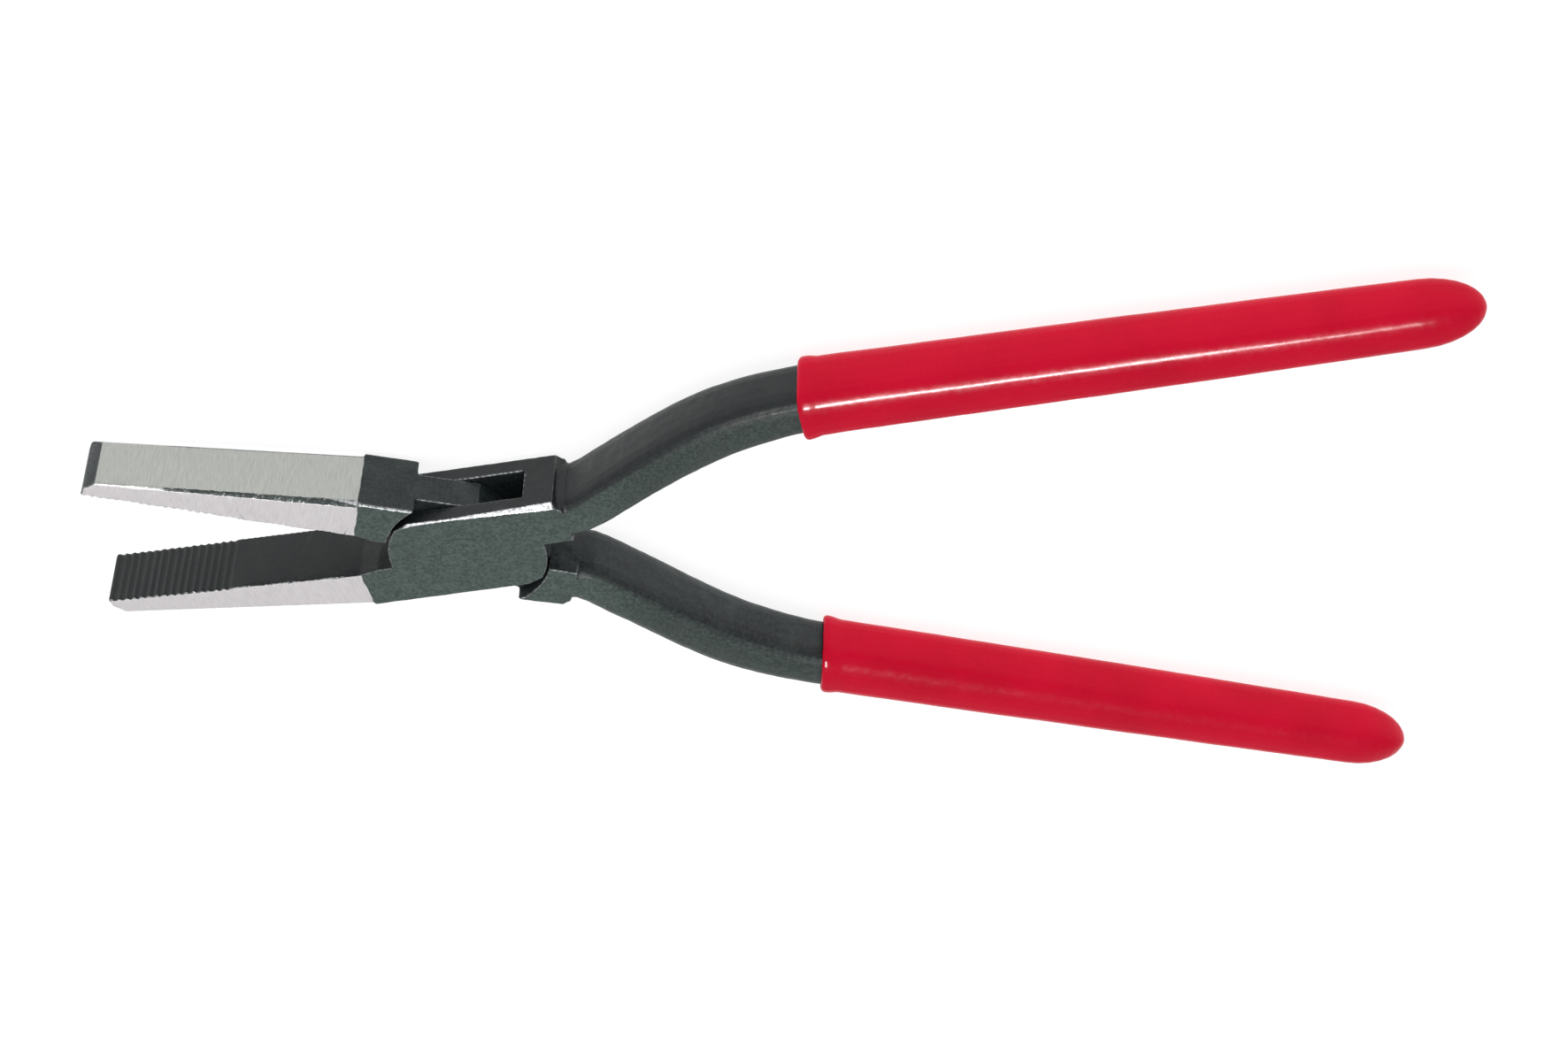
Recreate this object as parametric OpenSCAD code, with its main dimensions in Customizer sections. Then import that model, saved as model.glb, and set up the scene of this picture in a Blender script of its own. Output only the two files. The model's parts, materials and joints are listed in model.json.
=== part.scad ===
/* [Joint] */
// Thickness of both forgings at the joint, along the rivet
joint_t = 13.6; // [12:0.1:16]
// Radius of the round cheeks about the rivet
cheek_r = 15.9; // [15.5:0.1:17]
// Running gap between a round end and the shoulder that it turns in
shoulder_gap = 0.5; // [0.4:0.1:1]
// Half height of the joint on the side of its own jaw
joint_jaw_side = 11.2; // [10:0.1:12]
// Half height of the joint on the side of its own handle
joint_handle_side = 11.7; // [10:0.1:12]
// Thickness of the tongue that passes through the slot
tongue_t = 6.6; // [5.6:0.1:7.6]
// Play between the tongue and each wall of the slot
slot_play = 0.1; // [0.05:0.05:0.2]
// Distance from the rivet to the end of the slot, on the handle's side
slot_reach = 18.5; // [17:0.1:18.8]
// Angle of each half from the closed middle line, at rest
open_half = 12.2; // [6:0.1:16]

/* [Rivet] */
// Diameter of the rivet's shank
rivet_d = 8; // [6:0.5:10]
// Diameter of the riveted heads, flush with the cheeks
rivet_head_d = 11; // [10:0.5:13]
// Depth of the countersink under each head
rivet_head_h = 1.5; // [1:0.1:2]
// Radial play of the tongue on the rivet
rivet_play = 0.05; // [0.02:0.01:0.1]

/* [Jaws] */
// Length of a jaw from the rivet to its tip
jaw_len = 76.8; // [60:0.1:100]
// Gap between the two tips when the jaws are closed
tip_gap = 0.3; // [0.2:0.1:1]
// Relief of each gripping face, so that the tips meet first, in degrees
face_relief = 1.25; // [0.5:0.05:2]
// Height of the blunt nose at the tip
nose_h = 2.5; // [1.5:0.1:4]
// Length of the slope from the nose to the back of the jaw
nose_len = 2.6; // [1:0.1:5]
// Height of the jaw just behind its nose
jaw_front_h = 4.6; // [4:0.1:7]
// Height of the jaw where the ground steel ends
jaw_root_h = 11.2; // [10:0.1:13]
// Distance from the rivet to the end of the ground steel
ground_x = 23; // [20:0.5:30]
// Narrowing of the upper side of the jaw, from root to tip
jaw_taper = 1.4; // [0:0.1:2]
// Pitch of the teeth on the gripping face
tooth_pitch = 1.6; // [1.2:0.1:2.4]
// Depth of a tooth
tooth_depth = 0.5; // [0.3:0.1:0.8]
// Number of teeth on each jaw
tooth_count = 16; // [8:1:24]

/* [Handles] */
// Distance from the rivet to the end of a grip
handle_reach = 203.4; // [190:0.1:230]
// Distance from the rivet to the open end of the upper grip
upper_grip_x = 73; // [72:0.5:90]
// Distance from the rivet to the open end of the lower grip
lower_grip_x = 77; // [72:0.5:90]
// Thickness of the dipped grip
grip_wall = 1.1; // [0.8:0.1:2]
// Length of vinyl beyond the end of the steel
grip_end_wall = 8; // [7:0.5:12]
// Length of the rounded end of a grip
grip_dome = 12; // [11:0.5:16]
// Extra thickness of the lip at the open end
grip_lip = 0.35; // [0.1:0.05:0.8]
// Difference in set between the two handles, as forged
handle_set = 0.7; // [0:0.1:1.5]

/* [Hidden] */

steel = "#4d5754";
vinyl = "#c9152c";
round_fn = 96;
ring_points = 24;
past = 1;

mid_z = joint_t / 2;
cheek_t = (joint_t - tongue_t) / 2;
shoulder_r = cheek_r + shoulder_gap;
inner_lift = tip_gap / 2;
step_x = 20.7;
notch_r = 2.6;
root_end = 22.2;
core_start = 19.2;
cheek_corner = [9, 24];
tongue_corner = [0.3, 35];
core_fit = 0.04;
core_end = handle_reach - grip_end_wall;

// Height of the gripping face above the closed middle line
function face_y(x) = inner_lift + (x + jaw_len) * tan(face_relief);

// Height of the jaw's back at a place between the nose and the end of the ground steel
function back_y(x) = jaw_front_h + (jaw_root_h - jaw_front_h)
    * (x + jaw_len - nose_len) / (jaw_len - nose_len - ground_x);

// Teeth along the gripping face, from the tip backwards
function tooth_x(i) = -jaw_len + 0.8 + i * tooth_pitch;
tooth_points = [for (i = [0 : tooth_count - 1]) each [
    [tooth_x(i), face_y(tooth_x(i))],
    [tooth_x(i) + tooth_pitch * 0.35, face_y(tooth_x(i)) + tooth_depth]]];

// Outline of a jaw, seen along the rivet: teeth, plain face, joint, back and nose
jaw_outline = concat([[-jaw_len, inner_lift]], tooth_points, [
    [tooth_x(tooth_count), face_y(tooth_x(tooth_count))],
    [-ground_x, face_y(-ground_x)],
    [-19, inner_lift + 0.3],
    [-6, inner_lift + 0.3],
    [-6, joint_jaw_side],
    [-ground_x, jaw_root_h],
    [-jaw_len + nose_len, back_y(-jaw_len + nose_len)],
    [-jaw_len + 0.4, nose_h]]);

// Outline of the joint's end where the handle starts, seen along the rivet
root_outline = [[6, -0.4], [18.5, -0.4], [root_end, -0.5], [root_end, -joint_handle_side],
    [6, -joint_handle_side]];

// Stations along the handle's middle: distance, offset, thickness, width, squareness
handle_stations = [
    [19, -5.5, 10.2, 13.4, 4],
    [22, -5.5, 10.2, 13.4, 4],
    [25, -5.8, 10.1, 13.5, 3.8],
    [32, -9.2, 10.3, 13.6, 3.6],
    [40, -13.3, 10.6, 13.6, 3.3],
    [48, -17.3, 11.1, 13.4, 3.1],
    [56, -20.6, 11.3, 13.2, 3],
    [64, -22.7, 11.3, 12.8, 3],
    [72, -23.9, 10.8, 12.6, 2.9],
    [80, -24.3, 10.6, 12.5, 2.8],
    [110, -24.4, 10.2, 12.1, 2.8],
    [140, -24.5, 9.8, 11.7, 2.8],
    [170, -24.6, 9.1, 11.2, 2.8],
    [204, -24.7, 8.6, 10.4, 2.8]];
last_station = len(handle_stations) - 1;

// Value of the smooth curve through four stations, a part t of the way from b to c
function smooth(a, b, c, d, t) = 0.5 * (2 * b + (c - a) * t
    + (2 * a - 5 * b + 4 * c - d) * t * t + (3 * b - a - 3 * c + d) * t * t * t);

function station(i) = handle_stations[max(0, min(last_station, i))];

// Station of the handle at a place s along the list, which need not be whole
function at(s) = let (i = min(last_station - 1, floor(s)))
    smooth(station(i - 1), station(i), station(i + 1), station(i + 2), s - i);

// Place in the list where the handle reaches the distance x
function place(x, i = 1) = i >= last_station || station(i)[0] > x
    ? i - 1 + (x - station(i - 1)[0]) / (station(i)[0] - station(i - 1)[0])
    : place(x, i + 1);

// Sideways set of the handle, which turns over along the grip
function set_y(x, set) = set * (max(x, 80) - 140) / 60 * max(0, min(1, (x - 20) / 20));

function power(v, e) = sign(v) * pow(abs(v), 2 / e);

// Ring around the handle at the distance x, grown by a skin and shrunk by a scale
function ring(x, set, skin = 0, scale_by = 1) = let (
    s = at(place(x)),
    ahead = at(place(x + 0.5)),
    y = s[1] + set_y(x, set),
    run = [0.5, ahead[1] + set_y(x + 0.5, set) - y],
    side = [-run[1], run[0]] / norm(run))
    [for (k = [0 : ring_points - 1]) let (
        a = 360 * k / ring_points,
        u = (s[2] / 2 + skin) * scale_by * power(cos(a), s[4]),
        v = (s[3] / 2 + skin) * scale_by * power(sin(a), s[4]))
        [x + side[0] * u, y + side[1] * u, mid_z + v]];

// Solid tube over a list of rings
module tube(rings) {
    last = len(rings) - 1;
    n = ring_points;
    walls = [for (i = [0 : last - 1], k = [0 : n - 1]) let (m = (k + 1) % n) each [
        [i * n + k, (i + 1) * n + k, (i + 1) * n + m],
        [i * n + k, (i + 1) * n + m, i * n + m]]];
    first_cap = [[for (k = [0 : n - 1]) k]];
    last_cap = [[for (k = [n - 1 : -1 : 0]) last * n + k]];
    polyhedron([for (r = rings) each r], concat(walls, first_cap, last_cap), convexity = 6);
}

// Steel core of a handle, from the joint to its blunt end
module handle_core(set) {
    tube(concat(
        [for (x = [core_start : 2.5 : 80]) ring(x, set)],
        [for (x = [88 : 12 : core_end - 6]) ring(x, set)],
        [ring(core_end - 2, set), ring(core_end - 0.6, set, 0, 0.9), ring(core_end, set, 0, 0.7)]));
}

// Wedge that bevels an edge between two corners, each [x, y, z, width across, depth];
// up and out give the directions of the two faces that meet in the edge
module bevel(first, second, out, up) {
    points = [for (p = [first, second]) each [
        [p[0], p[1] - out * 2 * p[3], p[2] + up * p[4]],
        [p[0], p[1] + out * p[3], p[2] - up * 2 * p[4]],
        [p[0], p[1] + out * p[3], p[2] + up * p[4]]]];
    sides = [[0, 1, 2], [5, 4, 3], [0, 3, 4, 1], [1, 4, 5, 2], [2, 5, 3, 0]];
    turned = [for (f = sides) [for (k = [len(f) - 1 : -1 : 0]) f[k]]];
    polyhedron(points, out * up > 0 ? sides : turned, convexity = 2);
}

// Bevels along the back of the jaw and along both straight edges of the joint; handle_edge
// gives width across and depth at both ends of the upper edge on the handle's side
module bevels(handle_edge) {
    tip_x = -jaw_len - past;
    bevel([tip_x, back_y(tip_x), joint_t - jaw_taper, 0.3, 0.3],
        [-ground_x, jaw_root_h, joint_t, 1.1, 1.1], 1, 1);
    bevel([tip_x, back_y(tip_x), 0, 1.6, 1.6], [-ground_x, jaw_root_h, 0, 1.3, 1.3], 1, -1);
    for (side = [[joint_t, 1], [0, -1]])
        bevel([-ground_x - past, joint_jaw_side + 0.2, side[0], 0.6, 0.6],
            [cheek_r, joint_jaw_side, side[0], 0.4, 0.4], 1, side[1]);
    bevel(concat([-cheek_r, -joint_handle_side, joint_t], handle_edge[0]),
        concat([step_x + past, -joint_handle_side, joint_t], handle_edge[1]), -1, 1);
    bevel([-cheek_r, -joint_handle_side, 0, 0.4, 0.4],
        [step_x + past, -joint_handle_side, 0, 0.4, 0.4], -1, -1);
}

// Forging with jaw and handle in one, closed, before the joint is cut: jaw above the middle
// line and handle below it
module forging(set) {
    difference() {
        union() {
            linear_extrude(joint_t) polygon(jaw_outline);
            difference() {
                linear_extrude(joint_t) polygon(root_outline);
                translate([step_x + notch_r, -joint_handle_side - 0.4, -past])
                    cylinder(r = notch_r, h = joint_t + 2 * past, $fn = round_fn);
            }
            handle_core(set);
        }
        translate([-ground_x, 0, joint_t])
            rotate([0, -atan(jaw_taper / (jaw_len - ground_x)), 0])
                translate([-2 * jaw_len, -jaw_len, 0]) cube([2 * jaw_len, 2 * jaw_len, 5]);
    }
}

// Round plate about the rivet, with straight edges level with the forging; corner gives the
// place and the angle at which the straight edge falls away
module joint_plate(low, high, corner) {
    difference() {
        translate([0, 0, low]) cylinder(r = cheek_r, h = high - low, $fn = round_fn);
        translate([-jaw_len, joint_jaw_side, low - past]) cube([2 * jaw_len, 20, joint_t + 2 * past]);
        translate([-jaw_len, -joint_handle_side - 20, low - past])
            cube([2 * jaw_len, 20, joint_t + 2 * past]);
        for (cut = [[corner[0], joint_jaw_side, -corner[1]],
                [-cheek_corner[0], -joint_handle_side, 180 - cheek_corner[1]]])
            translate([cut[0], cut[1], low - past]) rotate([0, 0, cut[2]])
                cube([20, 20, joint_t + 2 * past]);
    }
}

// Slot for the tongue, which reaches further on the handle's side
module slot() {
    translate([0, 0, cheek_t - slot_play])
        cylinder(r = shoulder_r, h = tongue_t + 2 * slot_play, $fn = round_fn);
    difference() {
        translate([0, 0, cheek_t - slot_play])
            cylinder(r = slot_reach, h = tongue_t + 2 * slot_play, $fn = round_fn);
        translate([-2 * slot_reach, -slot_reach, 0])
            cube([2 * slot_reach, 2 * slot_reach, joint_t]);
    }
}

module rivet_hole(radius) {
    translate([0, 0, -past]) cylinder(r = radius, h = joint_t + 2 * past, $fn = round_fn);
}

// Outer half, whose two cheeks hold the tongue of the other half; its jaw is the lower one
module slotted_half() {
    color(steel) rotate([0, 0, open_half]) mirror([0, 1, 0]) difference() {
        union() {
            forging(handle_set);
            joint_plate(0, joint_t, cheek_corner);
        }
        bevels([[1.2, 0.4], [1.2, 1.1]]);
        slot();
        rivet_hole(rivet_d / 2);
        for (z = [-0.001, joint_t + 0.001]) translate([0, 0, z]) mirror([0, 0, z > mid_z ? 1 : 0])
            cylinder(d1 = rivet_head_d, d2 = rivet_d, h = rivet_head_h, $fn = round_fn);
    }
}

// Inner half, whose tongue passes through the slot; its jaw is the upper one
module tongue_half() {
    color(steel) rotate([0, 0, -open_half]) difference() {
        union() {
            difference() {
                forging(-handle_set);
                bevels([[3.2, 2.4], [0.75, 1.4]]);
                for (z = [cheek_t - joint_t, joint_t - cheek_t]) translate([0, 0, z])
                    cylinder(r = shoulder_r, h = joint_t, $fn = round_fn);
            }
            joint_plate(cheek_t, joint_t - cheek_t, tongue_corner);
        }
        rivet_hole(rivet_d / 2 + rivet_play);
    }
}

// Rivet with both heads closed into the countersinks and ground level with the cheeks
module pivot_rivet() {
    color(steel) {
        cylinder(d = rivet_d, h = joint_t, $fn = round_fn);
        cylinder(d1 = rivet_head_d, d2 = rivet_d, h = rivet_head_h, $fn = round_fn);
        translate([0, 0, joint_t - rivet_head_h])
            cylinder(d1 = rivet_d, d2 = rivet_head_d, h = rivet_head_h, $fn = round_fn);
    }
}

// Dipped vinyl sleeve: closed round end, rolled lip, hollow over the steel core
module grip(start, set) {
    dome_x = handle_reach - grip_dome;
    color(vinyl) difference() {
        tube(concat(
            [ring(start, set, grip_wall - 0.3), ring(start + 0.4, set, grip_wall + grip_lip * 0.7),
                ring(start + 1.2, set, grip_wall + grip_lip),
                ring(start + 2.4, set, grip_wall + grip_lip * 0.7),
                ring(start + 3.6, set, grip_wall)],
            [for (x = [start + 8 : 9 : dome_x - 3]) ring(x, set, grip_wall)],
            [for (a = [0 : 12 : 84]) ring(dome_x + grip_dome * sin(a), set, grip_wall, cos(a))]));
        tube(concat(
            [for (x = [start - 2.5 : 2.5 : 80]) ring(x, set, core_fit)],
            [for (x = [88 : 12 : core_end - 6]) ring(x, set, core_fit)],
            [ring(core_end - 2, set, core_fit), ring(core_end + core_fit, set, core_fit, 0.9),
                ring(core_end + 0.3, set, core_fit, 0.7)]));
    }
}

module upper_grip() {
    rotate([0, 0, open_half]) mirror([0, 1, 0]) grip(upper_grip_x, handle_set);
}

module lower_grip() {
    rotate([0, 0, -open_half]) grip(lower_grip_x, -handle_set);
}

slotted_half();
tongue_half();
pivot_rivet();
upper_grip();
lower_grip();
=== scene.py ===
"""Finished surfaces, floor, light and camera for the flat-nose pliers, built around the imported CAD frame.

Meshes are worked in millimetres and turned into metres when a piece is made. "Closed" coordinates are
those of one half with the tool shut: jaw along -X, its back towards +Y, handle along +X.
"""

import json
import math
from types import SimpleNamespace

import bpy
import numpy as np
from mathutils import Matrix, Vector, noise
from mathutils.bvhtree import BVHTree


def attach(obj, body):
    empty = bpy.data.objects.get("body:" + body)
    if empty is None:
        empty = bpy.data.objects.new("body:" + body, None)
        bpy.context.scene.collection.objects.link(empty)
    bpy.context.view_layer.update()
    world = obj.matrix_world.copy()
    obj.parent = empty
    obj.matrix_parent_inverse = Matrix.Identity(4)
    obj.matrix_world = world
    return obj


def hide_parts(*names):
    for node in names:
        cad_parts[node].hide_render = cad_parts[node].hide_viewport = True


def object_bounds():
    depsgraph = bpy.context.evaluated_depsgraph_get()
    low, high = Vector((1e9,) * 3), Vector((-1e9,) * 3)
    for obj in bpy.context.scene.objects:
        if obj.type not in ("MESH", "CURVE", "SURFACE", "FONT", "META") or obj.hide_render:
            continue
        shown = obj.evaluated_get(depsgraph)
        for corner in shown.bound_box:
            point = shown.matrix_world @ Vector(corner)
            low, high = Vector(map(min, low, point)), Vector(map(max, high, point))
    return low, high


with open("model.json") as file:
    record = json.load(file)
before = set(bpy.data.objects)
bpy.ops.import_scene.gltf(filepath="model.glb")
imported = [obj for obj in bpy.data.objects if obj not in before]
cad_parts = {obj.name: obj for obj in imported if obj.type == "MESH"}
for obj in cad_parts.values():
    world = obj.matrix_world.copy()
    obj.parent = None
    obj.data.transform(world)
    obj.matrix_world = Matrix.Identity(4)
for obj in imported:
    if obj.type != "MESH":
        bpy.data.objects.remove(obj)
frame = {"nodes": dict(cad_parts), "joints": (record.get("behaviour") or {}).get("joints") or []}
cad_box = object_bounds()

MM = 0.001
STAGE_SIZE = 6.0
FULL_CLOSE = frame["joints"][0]["range_deg"][1]
HALF_OPEN = math.radians(FULL_CLOSE / 2)
# Which way each half's jaw lies from the joint in Y.
JAW_SIDE = {"tongue_half": 1, "slotted_half": -1, "lower_grip": 1, "upper_grip": -1}

# Lengths are in millimetres where nothing else is said. Where a range is given, a pair says where
# an effect starts and where it is full, and a foursome also says how strong it is at both places.

# Smoothing, and the relief that forging and dipping leave.
SMOOTH_PULL = 0.5
SMOOTH_PUSH = -0.53
RELIEF_FALLOFF = 0.6
RELIEF_STEP = 2.0
RELIEF_OCTAVES = 3
RELIEF_GAIN = 0.8
NOISE_MIDDLE = 0.5
SEEDS = {"slotted_half": 3.1, "tongue_half": 7.7, "upper_grip": 1.3, "lower_grip": 5.9}

# Forged halves: mesh size, edge rounding, surface relief and wear.
HALF_VOXEL = 0.25
EDGE_PASSES = 4
SNAP_GAP = (0.15, 0.08)
HANDLE_START = (23.0, 29.0)
HANDLE_PASSES = 16
MACHINED_FACE = (0.9, 0.99)
MACHINED_CALM = 0.85
HAMMER_DEPTH = 0.07
HAMMER_SIZE = 3.5
WORN_DEPTH = (0.03, 0.14)
HANDLE_UNWORN = 0.6
HALF_KEEP = 0.35
FLAT_WEIGHT = 50

# Dipped grips.
GRIP_VOXEL = 0.4
GRIP_PASSES = 24
GRIP_WAVE_DEPTH = 0.07
GRIP_WAVE_SIZE = 14.0
GRIP_KEEP = 0.5
# The dipping line of each grip: how far its inner side leans towards the joint, and its shift.
MOUTH_LEAN = {"upper_grip": 0.135, "lower_grip": 0.185}
MOUTH_SHIFT = {"upper_grip": 1.1, "lower_grip": -0.4}
# Both are full over the rim and have died out at the end of the reach.
MOUTH_RIM = 1.0
MOUTH_REACH = 16.0

# Regions of the steel, along (X), across (Y) and from the middle plane of the shut tool (Z).
MIDDLE_Z = 6.8
GROUND_END = -22.75
GROUND_BLUR = 0.12
GROUND_LEAN = 0.035
GROUND_WAVE = 1.2
BARE_X = (GROUND_END + 1, GROUND_END - 1)
NOSE_X = (-74.0, -74.3)
POLISHED_BEVEL_X = (-62.0, -60.0)
# Where outer flats get their lighter tone, partly belt-ground finish and partly painted light: away from
# the middle plane, weaker on the handles.
LINISHED_LIT_Z = (4.2, 5.0)
LINISHED_LIT_X = (24.0, 42.0, 1.0, 0.5)
# Near the gripping faces between the jaws, edges get no wear, so the painted shade there stays dark.
UNWORN_JAWS_X = (-17.0, -19.0)
UNWORN_JAWS_Y = (3.0, 2.4)
# The joint's bright upper edges: partly worn bare steel, partly a painted highlight.
EDGE_Y = (10.3, 10.5)
EDGE_Z = (5.0, 5.3)
EDGE_END_X = (20.9, 20.3)
JAW_EDGE_X = (-12.0, -12.4, 0.0, 0.6)
JAW_EDGE_Y = (-1.0, 1.0)
HANDLE_EDGE_X = (-10.8, -9.0)
HANDLE_EDGE_Y = (1.0, -1.0)
# Regions of the steel by parts of the unit normal.
GRIPPING_NY = (-0.25, -0.5)
SIDE_NZ = (0.75, 0.9)
BEVEL_N = (0.35, 0.5)
# Faces turned this far towards ±Z get the lighter tone, which is partly painted light.
LINISHED_LIT_NZ = (0.55, 0.92)
# The same wear-free strip between the jaws, chosen by the normal's Z part.
UNWORN_JAWS_NZ = (0.5, 0.3, 0.0, 0.9)
EDGE_NZ = (0.3, 0.5)
EDGE_STEEP_NY = (0.95, 0.87)
EDGE_SHALLOW_NY = (0.2, 0.35)

# Colours, darkest and lightest.
SCALE = ((0.004, 0.007, 0.008, 1), (0.020, 0.030, 0.032, 1))
# The belt-ground flats' colour. Its lightness partly stands in for the light from above, as painted light.
LINISHED_AND_LIT = ((0.034, 0.058, 0.050, 1), (0.090, 0.128, 0.114, 1))
CLOUDED = (0.045, 0.058, 0.054, 1)
# Painted shade: a darker colour laid on the gripping faces between the jaws.
JAW_GAP_SHADE = (0.010, 0.012, 0.013, 1)
# Bright bare steel: real wear on edges, and partly a painted highlight on the joint's upper edges.
RUBBED_AND_HIGHLIT = (0.66, 0.67, 0.69, 1)
GROUND_BACK = ((0.37, 0.38, 0.36, 1), (0.50, 0.51, 0.48, 1))
# The sides' lighter colour is partly finer grinding and partly painted light.
GROUND_SIDE_FINER_AND_LIT = ((0.72, 0.69, 0.70, 1), (0.84, 0.81, 0.82, 1))
VINYL = ((0.62, 0.0022, 0.026, 1), (0.70, 0.0030, 0.032, 1))
PAPER = ((0.23, 0.23, 0.23, 1), (0.27, 0.27, 0.27, 1))
TENT = ((0.95, 0.95, 0.95, 1), (1.0, 1.0, 1.0, 1))

# Noise: its size, its detail and, where it isn't the usual one, its roughness. The paper's is in metres.
FINE_GRAIN = (0.7, 4.0, 0.7)
LUMPS = (2.2, 2.0)
CLOUDS = (6.0, 2.0)
WANDER = (5.0, 1.0)
BROKEN_WEAR = (0.9, 3.0)
GRINDING = (0.625, 4.0, 0.65)
GRINDING_STRETCH = (5.0, 0.25, 0.25)
VINYL_CLOUDS = (18.0, 2.0)
ORANGE_PEEL = (1.3, 2.0, 0.5)
PAPER_FIBRES = (0.004, 3.0)

# How noise turns into colour, cover and roughness.
GRIT = (0.36, 0.64)
EVEN = (0.3, 0.7)
CLOUD_COVER = (0.4, 0.75, 0.0, 0.4)
# How strongly the painted shade darkens the gripping faces.
JAW_GAP_SHADE_COVER = 0.7
BEVEL_COVER = (0.3, 0.45, 0.35, 1.0)
EDGE_COVER = (0.35, 0.55, 0.35, 1.0)
WEAR_COVER = (0.35, 0.6, 0.15, 0.65)
RUBBED_AND_HIGHLIT_METAL = 0.9
BLACK_ROUGHNESS = (0.25, 0.75, 0.32, 0.50)
GROUND_ROUGHNESS = (0.25, 0.75, 0.36, 0.50)
RIVET_ROUGHNESS = (0.25, 0.75, 0.30, 0.48)
VINYL_ROUGHNESS = (0.2, 0.8, 0.20, 0.30)
PAPER_ROUGHNESS = 0.9
STEEL_SPECULAR = 0.36
VINYL_SPECULAR = 0.08
# Bumps: the share of each noise, then the strength and the depth in metres.
LUMP_HEIGHT = 1.6
GRINDING_HEIGHT = 0.25
STEEL_BUMP = (0.35, 0.00008)
RIVET_BUMP = (0.3, 0.00006)
VINYL_BUMP = (0.25, 0.00004)

# Light, in metres and watts, and the camera, in metres and degrees, with its film in millimetres.
OVERHEAD_PLACE = (0.0, -0.1, 1.6)
OVERHEAD_SIZE = (1.4, 1.0)
OVERHEAD_POWER = 3.0
STRIP_PLACE = (-0.07, 0.3, 0.95)
STRIP_SIZE = (0.28, 0.18)
STRIP_POWER = 8.0
GRIP_STRIP_POWER = 60.0
TENT_STRENGTH = 0.72
TENT_HEIGHT = (-0.1, 0.9)
PAPER_GLOW = 0.86
LENS = 81.69
FILM_WIDTH = 36.0
SEEN_DEPTH = (0.01, 20.0)
CAMERA_PLACE = (0.0855, 0.5449, 0.4615)
CAMERA_TURN = (-50.0, 1.835, 0.317)


# ---------------------------------------------------------------- meshes

def coordinates(mesh):
    """The mesh's vertices as an array."""
    co = np.empty(len(mesh.vertices) * 3)
    mesh.vertices.foreach_get("co", co)
    return co.reshape(-1, 3)


def normals(mesh):
    """The mesh's vertex normals as an array."""
    found = np.empty(len(mesh.vertices) * 3)
    mesh.vertex_normals.foreach_get("vector", found)
    return found.reshape(-1, 3)


def place(mesh, co):
    """Moves the mesh's vertices to co."""
    mesh.vertices.foreach_set("co", co.astype(np.float32).ravel())
    mesh.update()


def smoothstep(low, high, value):
    """0 below low, 1 above high, and an eased rise between them. low may be the larger."""
    t = np.clip((value - low) / (high - low), 0, 1)
    return t * t * (3 - 2 * t)


def with_modifier(mesh, kind, **settings):
    """A new mesh: the given one as one modifier leaves it."""
    carrier = bpy.data.objects.new("carrier", mesh)
    bpy.context.scene.collection.objects.link(carrier)
    modifier = carrier.modifiers.new(kind, kind)
    for key, value in settings.items():
        setattr(modifier, key, value)
    finished = carrier.evaluated_get(bpy.context.evaluated_depsgraph_get())
    result = bpy.data.meshes.new_from_object(finished)
    bpy.data.objects.remove(carrier)
    return result


def fine_copy(node, voxel):
    """A finely and evenly meshed copy of a CAD node, in millimetres."""
    mesh = frame["nodes"][node].data.copy()
    mesh.materials.clear()
    place(mesh, coordinates(mesh) / MM)
    return with_modifier(mesh, "REMESH", mode="VOXEL", voxel_size=voxel, use_smooth_shade=True)


def surface_tree(node):
    """A search tree on a CAD node's own surface, in millimetres."""
    mesh = frame["nodes"][node].data
    mesh.calc_loop_triangles()
    corners = [tuple(t.vertices) for t in mesh.loop_triangles]
    return BVHTree.FromPolygons([v.co / MM for v in mesh.vertices], corners)


def smoothed(co, edges, passes, pull, push):
    """Positions after averaging with their neighbours. push undoes the shrinking that pull brings."""
    ends = [(edges[:, 0], edges[:, 1]), (edges[:, 1], edges[:, 0])]
    share = 1 / np.bincount(edges.ravel(), minlength=len(co))
    for _ in range(passes):
        for step in (pull, push):
            mean = np.stack([
                share * sum(np.bincount(a, co[b, axis], len(co)) for a, b in ends) for axis in range(3)
            ], axis=1)
            co = co + step * (mean - co)
    return co


def edge_array(mesh):
    """The mesh's edges as pairs of vertex numbers."""
    edges = np.empty(len(mesh.edges) * 2, np.int64)
    mesh.edges.foreach_get("vertices", edges)
    return edges.reshape(-1, 2)


def closed(co, side):
    """Points or directions of a half, as they lie when the tool is shut."""
    y = side * co[:, 1]
    c, s = math.cos(HALF_OPEN), math.sin(HALF_OPEN)
    return np.stack([c * co[:, 0] - s * y, s * co[:, 0] + c * y, co[:, 2]], axis=1)


def relief(co, size, seed):
    """Soft random relief from 0 to 1, with bumps about size across."""
    shift = Vector((seed, 2 * seed, -seed))
    shape = (RELIEF_FALLOFF, RELIEF_STEP, RELIEF_OCTAVES)
    value = [noise.fractal(Vector(p) / size + shift, *shape) for p in co]
    return np.clip(NOISE_MIDDLE + RELIEF_GAIN * np.array(value), 0, 1)


def store(mesh, name, values):
    """Keeps one number or one vector for each vertex as a named attribute."""
    kind, field = ("FLOAT", "value") if values.ndim == 1 else ("FLOAT_VECTOR", "vector")
    kept = mesh.attributes.new(name, kind, "POINT")
    kept.data.foreach_set(field, values.astype(np.float32).ravel())


def piece(mesh, name, body, node, material):
    """Makes the finished piece that stands for a CAD node."""
    place(mesh, coordinates(mesh) * MM)
    mesh.materials.clear()
    mesh.materials.append(material)
    mesh.shade_smooth()
    made = bpy.data.objects.new(name, mesh)
    bpy.context.scene.collection.objects.link(made)
    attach(made, body)
    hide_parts(node)
    return made


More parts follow.
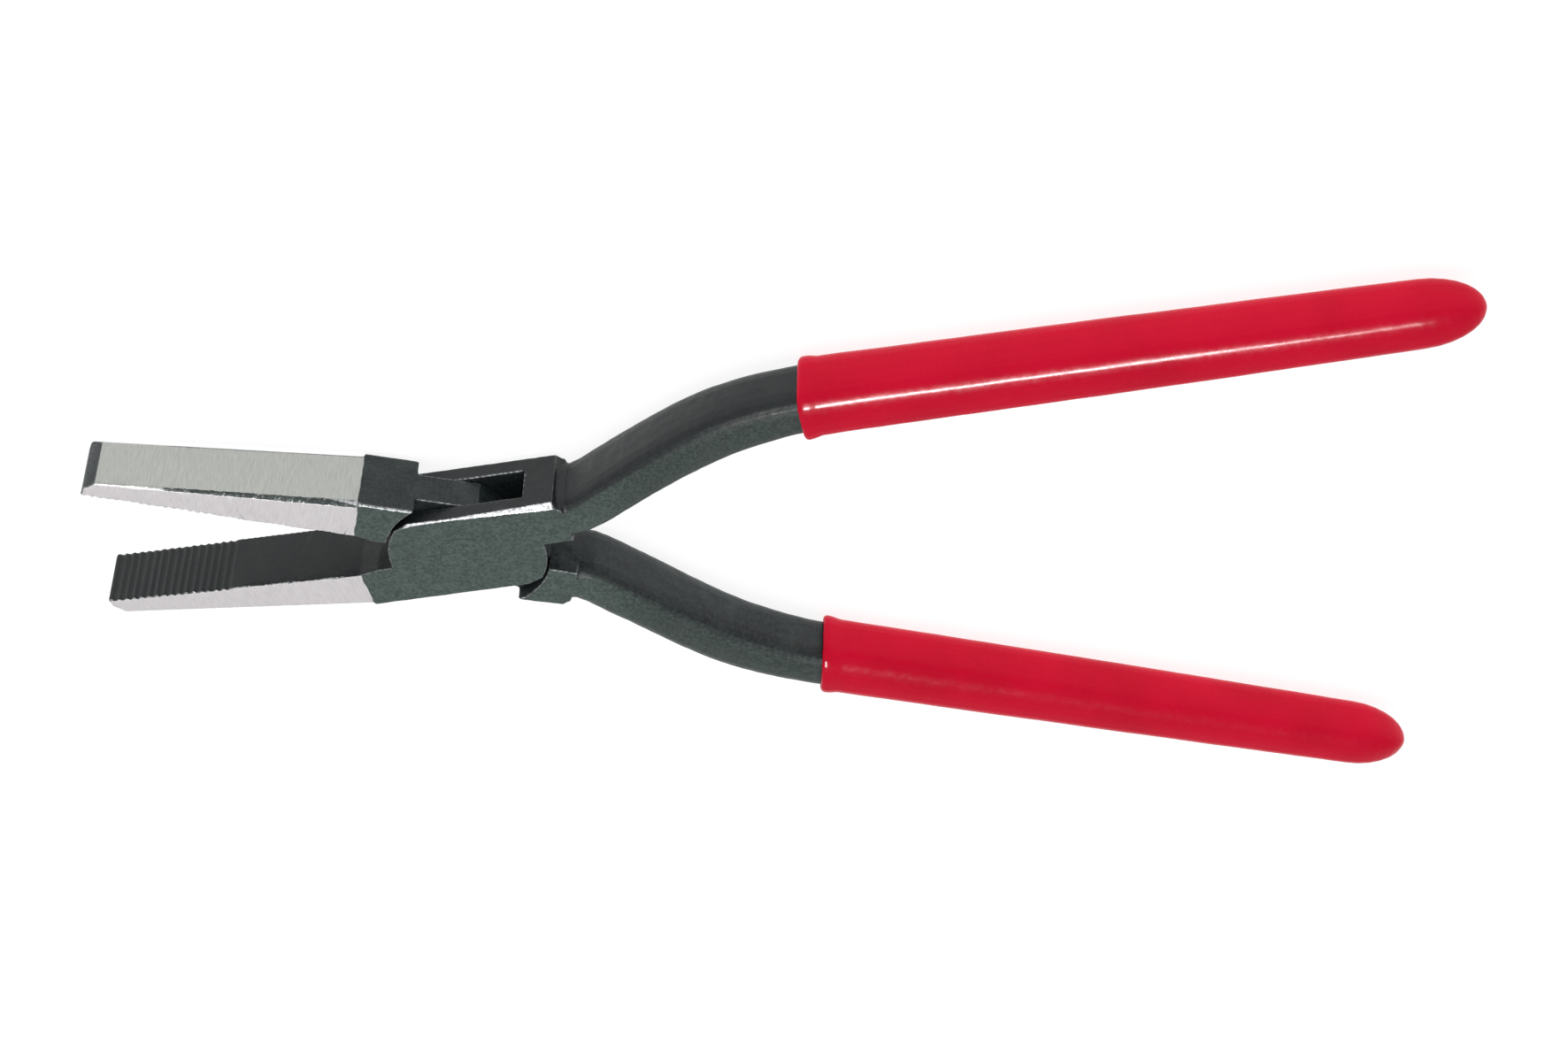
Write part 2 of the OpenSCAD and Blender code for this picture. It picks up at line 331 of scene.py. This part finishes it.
def forged_half(node, name, body, material):
    """One forged half: true flats, softened edges, smooth handle and a faint hammered relief."""
    side = JAW_SIDE[node]
    tree = surface_tree(node)
    mesh = fine_copy(node, HALF_VOXEL)
    edges = edge_array(mesh)
    rough = coordinates(mesh)
    crisp = smoothed(rough, edges, EDGE_PASSES, SMOOTH_PULL, 0.0)
    found = [tree.find_nearest(p) for p in crisp]
    nearest = np.array([f[0] for f in found])
    outward = np.array([f[1] for f in found])
    gap = np.array([f[3] for f in found])
    depth = ((nearest - crisp) * outward).sum(axis=1)
    snap = smoothstep(*SNAP_GAP, gap)[:, None]
    crisp = crisp + snap * (nearest - crisp)
    flowing = smoothed(rough, edges, HANDLE_PASSES, SMOOTH_PULL, SMOOTH_PUSH)
    along = closed(rough, side)[:, 0]
    handle = smoothstep(*HANDLE_START, along)[:, None]
    co = crisp + handle * (flowing - crisp)
    place(mesh, co)
    facing = normals(mesh)
    machined = smoothstep(*MACHINED_FACE, np.abs(facing[:, 2])) * (1 - handle[:, 0])
    bare = smoothstep(*BARE_X, along)
    hammered = HAMMER_DEPTH * relief(co, HAMMER_SIZE, SEEDS[node])
    dent = hammered * (1 - MACHINED_CALM * machined) * (1 - bare)
    place(mesh, co - dent[:, None] * facing)
    store(mesh, "wear", smoothstep(*WORN_DEPTH, depth) * (1 - HANDLE_UNWORN * handle[:, 0]))
    mesh = with_modifier(mesh, "DECIMATE", ratio=HALF_KEEP)
    mesh = with_modifier(mesh, "WEIGHTED_NORMAL", weight=FLAT_WEIGHT)
    store(mesh, "closed", closed(coordinates(mesh), side))
    store(mesh, "facing", closed(normals(mesh), side))
    return piece(mesh, name, body, node, material)


def dipped_grip(node, name, body, material):
    """One dipped grip, with its leaning mouth and the slight waves that the dipping leaves."""
    side = JAW_SIDE[node]
    mesh = fine_copy(node, GRIP_VOXEL)
    co = smoothed(coordinates(mesh), edge_array(mesh), GRIP_PASSES, SMOOTH_PULL, SMOOTH_PUSH)
    shut = closed(co, side)
    mouth = shut[:, 0].min()
    middle = shut[shut[:, 0] < mouth + MOUTH_RIM, 1].mean()
    near_mouth = smoothstep(mouth + MOUTH_REACH, mouth + MOUTH_RIM, shut[:, 0])
    lean = (MOUTH_SHIFT[node] - MOUTH_LEAN[node] * (shut[:, 1] - middle)) * near_mouth
    along = np.array([math.cos(HALF_OPEN), -side * math.sin(HALF_OPEN), 0])
    co = co + lean[:, None] * along
    place(mesh, co)
    dent = GRIP_WAVE_DEPTH * relief(co, GRIP_WAVE_SIZE, SEEDS[node])
    place(mesh, co - dent[:, None] * normals(mesh))
    mesh = with_modifier(mesh, "DECIMATE", ratio=GRIP_KEEP)
    store(mesh, "closed", closed(coordinates(mesh), side))
    return piece(mesh, name, body, node, material)


# ---------------------------------------------------------------- material nodes

def add(tree, kind, inputs=None, **settings):
    """Adds a shader node. Its inputs are constants or other nodes' sockets."""
    made = tree.nodes.new("ShaderNode" + kind)
    for key, value in settings.items():
        setattr(made, key, value)
    for key, value in (inputs or {}).items():
        if isinstance(value, bpy.types.NodeSocket):
            tree.links.new(value, made.inputs[key])
        else:
            made.inputs[key].default_value = value
    return made


def principled(name):
    """A new material with its node tree and its Principled shader."""
    material = bpy.data.materials.new(name)
    material.use_nodes = True
    tree = material.node_tree
    return material, tree, tree.nodes["Principled BSDF"]


def maths(tree, operation, a, b=0.5):
    """One arithmetic step on two values."""
    return add(tree, "Math", {0: a, 1: b}, operation=operation).outputs[0]


def rise(tree, value, low, high, start=0.0, end=1.0):
    """Eases from start to end as value goes from low to high."""
    inputs = {"Value": value, "From Min": low, "From Max": high, "To Min": start, "To Max": end}
    return add(tree, "MapRange", inputs, interpolation_type="SMOOTHSTEP").outputs[0]


def speckle(tree, where, size, detail=3.0, roughness=0.6):
    """Random grain whose bumps are about size across, in the units of where."""
    inputs = {"Vector": where, "Scale": 1 / size, "Detail": detail, "Roughness": roughness}
    return add(tree, "TexNoise", inputs).outputs[0]


def blend_colour(tree, share, a, b):
    """Mixes two colours."""
    made = add(tree, "Mix", {0: share, 6: a, 7: b}, data_type="RGBA")
    return made.outputs[2]


def blend_value(tree, share, a, b):
    """Mixes two numbers."""
    return add(tree, "Mix", {0: share, 2: a, 3: b}, data_type="FLOAT").outputs[0]


def attribute(tree, name):
    """A mesh attribute's node."""
    return add(tree, "Attribute", attribute_name=name)


def product(tree, first, *others):
    """The product of several values."""
    for other in others:
        first = maths(tree, "MULTIPLY", first, other)
    return first


def rest_of(tree, share):
    """What a share leaves of the whole."""
    return maths(tree, "SUBTRACT", 1.0, share)


def magnitude(tree, value):
    """A value without its sign."""
    return maths(tree, "ABSOLUTE", value)


def connect(tree, shader, colour, roughness, height, strength, depth):
    """Gives a shader its colour, its roughness and its bump."""
    tree.links.new(colour, shader.inputs["Base Color"])
    tree.links.new(roughness, shader.inputs["Roughness"])
    bump = add(tree, "Bump", {"Height": height, "Strength": strength, "Distance": depth})
    tree.links.new(bump.outputs[0], shader.inputs["Normal"])


def steel_places(tree):
    """Where a point of a half lies and faces with the tool shut, its wear and its grain."""
    at = SimpleNamespace(point=attribute(tree, "closed").outputs["Vector"])
    at.x, at.y, z = add(tree, "SeparateXYZ", {0: at.point}).outputs[:3]
    facing = add(tree, "SeparateXYZ", {0: attribute(tree, "facing").outputs["Vector"]}).outputs
    at.ny, at.nz = facing[1:3]
    at.wear = attribute(tree, "wear").outputs["Fac"]
    at.from_middle = magnitude(tree, maths(tree, "SUBTRACT", z, MIDDLE_Z))
    at.gripping = rise(tree, at.ny, *GRIPPING_NY)
    at.side = rise(tree, magnitude(tree, at.nz), *SIDE_NZ)
    at.fine = speckle(tree, at.point, *FINE_GRAIN)
    across = add(tree, "Mapping", {"Vector": at.point, "Scale": GRINDING_STRETCH}).outputs[0]
    at.lines = speckle(tree, across, *GRINDING)
    return at


def ground_share(tree, at):
    """Ground where the jaw is, but not on its gripping face, nose slope or outer bevel."""
    wander = maths(tree, "SUBTRACT", speckle(tree, at.point, *WANDER), NOISE_MIDDLE)
    edge_x = maths(tree, "ADD", at.x, product(tree, at.y, GROUND_LEAN))
    edge_x = maths(tree, "ADD", edge_x, product(tree, wander, GROUND_WAVE))
    jaw = rise(tree, edge_x, GROUND_END + GROUND_BLUR, GROUND_END - GROUND_BLUR)
    nose = product(tree, rise(tree, at.x, *NOSE_X), rest_of(tree, at.side))
    broken = rise(tree, speckle(tree, at.point, *BROKEN_WEAR), *BEVEL_COVER)
    slanting = product(tree, rise(tree, at.ny, *BEVEL_N), rise(tree, magnitude(tree, at.nz), *BEVEL_N))
    bevel = product(tree, slanting, rise(tree, at.x, *POLISHED_BEVEL_X), broken)
    covered = maths(tree, "MAXIMUM", maths(tree, "MAXIMUM", at.gripping, nose), bevel)
    return product(tree, jaw, rest_of(tree, covered))


def worn_and_highlit_edges(tree, at):
    """Both long upper edges of the joint made bright: partly worn bare steel, partly a painted highlight on
    the bevels that face up.
    """
    steep = magnitude(tree, at.ny)
    slanting = product(tree, rise(tree, steep, *EDGE_STEEP_NY), rise(tree, steep, *EDGE_SHALLOW_NY))
    # Only bevels facing up (+Z) get it, so it is partly a painted highlight.
    facing = product(tree, rise(tree, at.nz, *EDGE_NZ), slanting)
    jaw_edge = product(tree, rise(tree, at.y, *JAW_EDGE_Y), rise(tree, at.x, *JAW_EDGE_X))
    handle_edge = product(tree, rise(tree, at.y, *HANDLE_EDGE_Y), rise(tree, at.x, *HANDLE_EDGE_X))
    region = product(
        tree,
        rise(tree, magnitude(tree, at.y), *EDGE_Y),
        rise(tree, at.x, *EDGE_END_X),
        rise(tree, at.from_middle, *EDGE_Z),
        maths(tree, "ADD", jaw_edge, handle_edge),
    )
    return product(tree, facing, region, rise(tree, at.fine, *EDGE_COVER))


def worn_and_highlit_share(tree, at):
    """Wear on all edges but those near the gripping faces between the jaws, whose painted shade stays dark,
    and the joint's bright upper edges, partly worn steel and partly a painted highlight.
    """
    worn = product(tree, at.wear, rise(tree, at.fine, *WEAR_COVER))
    # No wear near the gripping faces between the jaws, so their painted shade stays dark.
    between_jaws = product(tree, rise(tree, at.x, *UNWORN_JAWS_X), rise(tree, at.y, *UNWORN_JAWS_Y))
    unworn_jaws = product(tree, between_jaws, rise(tree, at.nz, *UNWORN_JAWS_NZ))
    worn = product(tree, worn, rest_of(tree, unworn_jaws))
    return maths(tree, "MAXIMUM", worn, worn_and_highlit_edges(tree, at))


def blackened_colour(tree, at):
    """Dark scale, clouded; greener and lighter on outer flats facing ±Z, partly their belt-ground finish
    and partly painted light; painted shade on the gripping faces between the jaws.
    """
    grit = rise(tree, at.fine, *GRIT)
    scale = blend_colour(tree, grit, *SCALE)
    linished_and_lit = blend_colour(tree, grit, *LINISHED_AND_LIT)
    # Painted light, in part: faces turned towards ±Z are made lighter and greener in place of the light
    # they get from above.
    lit_flat = product(
        tree,
        rise(tree, magnitude(tree, at.nz), *LINISHED_LIT_NZ),
        rise(tree, at.from_middle, *LINISHED_LIT_Z),
        rise(tree, at.x, *LINISHED_LIT_X),
    )
    black = blend_colour(tree, lit_flat, scale, linished_and_lit)
    cloud = rise(tree, speckle(tree, at.point, *CLOUDS), *CLOUD_COVER)
    black = blend_colour(tree, cloud, black, CLOUDED)
    # Painted shade: the gripping faces between the jaws are darkened.
    return blend_colour(tree, product(tree, at.gripping, JAW_GAP_SHADE_COVER), black, JAW_GAP_SHADE)


def ground_colour(tree, at):
    """Fine grinding lines across the jaw, lighter on its sides, which face ±Z, than on its back: partly
    finer grinding and partly painted light.
    """
    grinding_tone = rise(tree, at.lines, *EVEN)
    back = blend_colour(tree, grinding_tone, *GROUND_BACK)
    side = blend_colour(tree, grinding_tone, *GROUND_SIDE_FINER_AND_LIT)
    # Painted light, in part: faces turned towards ±Z take the lighter side colour.
    return blend_colour(tree, at.side, back, side)


def steel_surface():
    """Blackened forging that turns to bright ground steel on the jaws' backs and sides."""
    material, tree, shader = principled("blackened_and_ground_steel")
    at = steel_places(tree)
    ground = ground_share(tree, at)
    worn_and_highlit = worn_and_highlit_share(tree, at)
    # Worn edges turn to bright steel, and so do the joint's upper edges as a partly painted highlight.
    black = blend_colour(tree, worn_and_highlit, blackened_colour(tree, at), RUBBED_AND_HIGHLIT)
    colour = blend_colour(tree, ground, black, ground_colour(tree, at))
    metal = maths(tree, "MAXIMUM", ground, product(tree, worn_and_highlit, RUBBED_AND_HIGHLIT_METAL))
    dull = rise(tree, at.fine, *BLACK_ROUGHNESS)
    satin = rise(tree, at.lines, *GROUND_ROUGHNESS)
    lumps = product(tree, speckle(tree, at.point, *LUMPS), LUMP_HEIGHT)
    furrows = product(tree, at.lines, GRINDING_HEIGHT)
    height = blend_value(tree, ground, maths(tree, "ADD", at.fine, lumps), furrows)
    connect(tree, shader, colour, blend_value(tree, ground, dull, satin), height, *STEEL_BUMP)
    tree.links.new(metal, shader.inputs["Metallic"])
    shader.inputs["Specular IOR Level"].default_value = STEEL_SPECULAR
    return material


def rivet_surface():
    """The rivet's blackened steel, on the CAD node itself, so its grain is set in metres."""
    material, tree, shader = principled("blackened_rivet_steel")
    where = add(tree, "TexCoord").outputs["Object"]
    at_mm = add(tree, "Mapping", {"Vector": where, "Scale": (1 / MM,) * 3}).outputs[0]
    fine = speckle(tree, at_mm, *FINE_GRAIN)
    # The rivet takes the flats' lighter tone, which is partly painted light.
    colour = blend_colour(tree, rise(tree, fine, *GRIT), *LINISHED_AND_LIT)
    connect(tree, shader, colour, rise(tree, fine, *RIVET_ROUGHNESS), fine, *RIVET_BUMP)
    shader.inputs["Specular IOR Level"].default_value = STEEL_SPECULAR
    return material


def vinyl_surface():
    """Glossy red dipped vinyl with a faint orange peel."""
    material, tree, shader = principled("red_dipped_vinyl")
    point = attribute(tree, "closed").outputs["Vector"]
    cloud = speckle(tree, point, *VINYL_CLOUDS)
    peel = speckle(tree, point, *ORANGE_PEEL)
    colour = blend_colour(tree, rise(tree, cloud, *EVEN), *VINYL)
    connect(tree, shader, colour, rise(tree, peel, *VINYL_ROUGHNESS), peel, *VINYL_BUMP)
    shader.inputs["Specular IOR Level"].default_value = VINYL_SPECULAR
    return material


def floor_surface():
    """Pale matt paper."""
    material, tree, shader = principled("pale_floor")
    where = add(tree, "TexCoord").outputs["Object"]
    colour = blend_colour(tree, speckle(tree, where, *PAPER_FIBRES), *PAPER)
    tree.links.new(colour, shader.inputs["Base Color"])
    shader.inputs["Roughness"].default_value = PAPER_ROUGHNESS
    shader.inputs["Emission Color"].default_value = (1, 1, 1, 1)
    shader.inputs["Emission Strength"].default_value = PAPER_GLOW
    return material


# ---------------------------------------------------------------- stage

def make_floor():
    """A plain pale floor at the object's lowest point."""
    half = STAGE_SIZE / 2
    mesh = bpy.data.meshes.new("floor")
    corners = [(-half, -half, 0), (half, -half, 0), (half, half, 0), (-half, half, 0)]
    mesh.from_pydata(corners, [], [(0, 1, 2, 3)])
    mesh.materials.append(floor_surface())
    floor = bpy.data.objects.new("floor", mesh)
    floor.location.z = cad_box[0].z
    bpy.context.scene.collection.objects.link(floor)


def make_light(name, centre, size, power):
    """A soft rectangular lamp that faces down."""
    data = bpy.data.lights.new(name, "AREA")
    data.shape = "RECTANGLE"
    data.size, data.size_y = size
    data.energy = power
    lamp = bpy.data.objects.new(name, data)
    lamp.location = centre
    bpy.context.scene.collection.objects.link(lamp)
    return lamp


def make_lights():
    """A soft overhead lamp, and two strips in one place that only shine in reflections."""
    overhead = make_light("overhead", OVERHEAD_PLACE, OVERHEAD_SIZE, OVERHEAD_POWER)
    overhead.visible_glossy = False
    for name, power in (("strip", STRIP_POWER), ("grip_strip", GRIP_STRIP_POWER)):
        strip = make_light(name, STRIP_PLACE, STRIP_SIZE, power)
        strip.visible_diffuse = False


def keep_on_vinyl(lamp_name, sleeves):
    """Lets a lamp light the grips only."""
    glossy = bpy.data.collections.new("glossy")
    for sleeve in sleeves:
        glossy.objects.link(sleeve)
    bpy.data.objects[lamp_name].light_linking.receiver_collection = glossy


def finish_rivet():
    """The rivet stays as the CAD made it and only gets its surface."""
    materials = frame["nodes"]["pivot_rivet"].data.materials
    materials.clear()
    materials.append(rivet_surface())


def make_world():
    """A white tent of light, a little brighter overhead."""
    world = bpy.data.worlds.new("studio")
    world.use_nodes = True
    tree = world.node_tree
    direction = add(tree, "TexCoord").outputs["Generated"]
    up = add(tree, "SeparateXYZ", {0: direction}).outputs[2]
    shade = rise(tree, up, *TENT_HEIGHT)
    colour = blend_colour(tree, shade, *TENT)
    background = tree.nodes["Background"]
    tree.links.new(colour, background.inputs[0])
    background.inputs[1].default_value = TENT_STRENGTH
    bpy.context.scene.world = world


def make_camera():
    """The viewpoint: beyond the tool's +Y side, looking back and down on it."""
    data = bpy.data.cameras.new("camera")
    data.sensor_width = FILM_WIDTH
    data.lens = LENS
    data.clip_start, data.clip_end = SEEN_DEPTH
    camera = bpy.data.objects.new("camera", data)
    camera.location = CAMERA_PLACE
    camera.rotation_mode = "ZYX"
    camera.rotation_euler = [math.radians(turn) for turn in CAMERA_TURN]
    bpy.context.scene.collection.objects.link(camera)
    bpy.context.scene.camera = camera


make_camera()
make_floor()
make_world()
make_lights()
bpy.context.scene.view_settings.view_transform = "Standard"

steel = steel_surface()
vinyl = vinyl_surface()
forged_half("slotted_half", "slotted_forging", "slotted_side", steel)
forged_half("tongue_half", "tongue_forging", "tongue_side", steel)
upper_sleeve = dipped_grip("upper_grip", "upper_sleeve", "slotted_side", vinyl)
lower_sleeve = dipped_grip("lower_grip", "lower_sleeve", "tongue_side", vinyl)
finish_rivet()
keep_on_vinyl("grip_strip", (upper_sleeve, lower_sleeve))
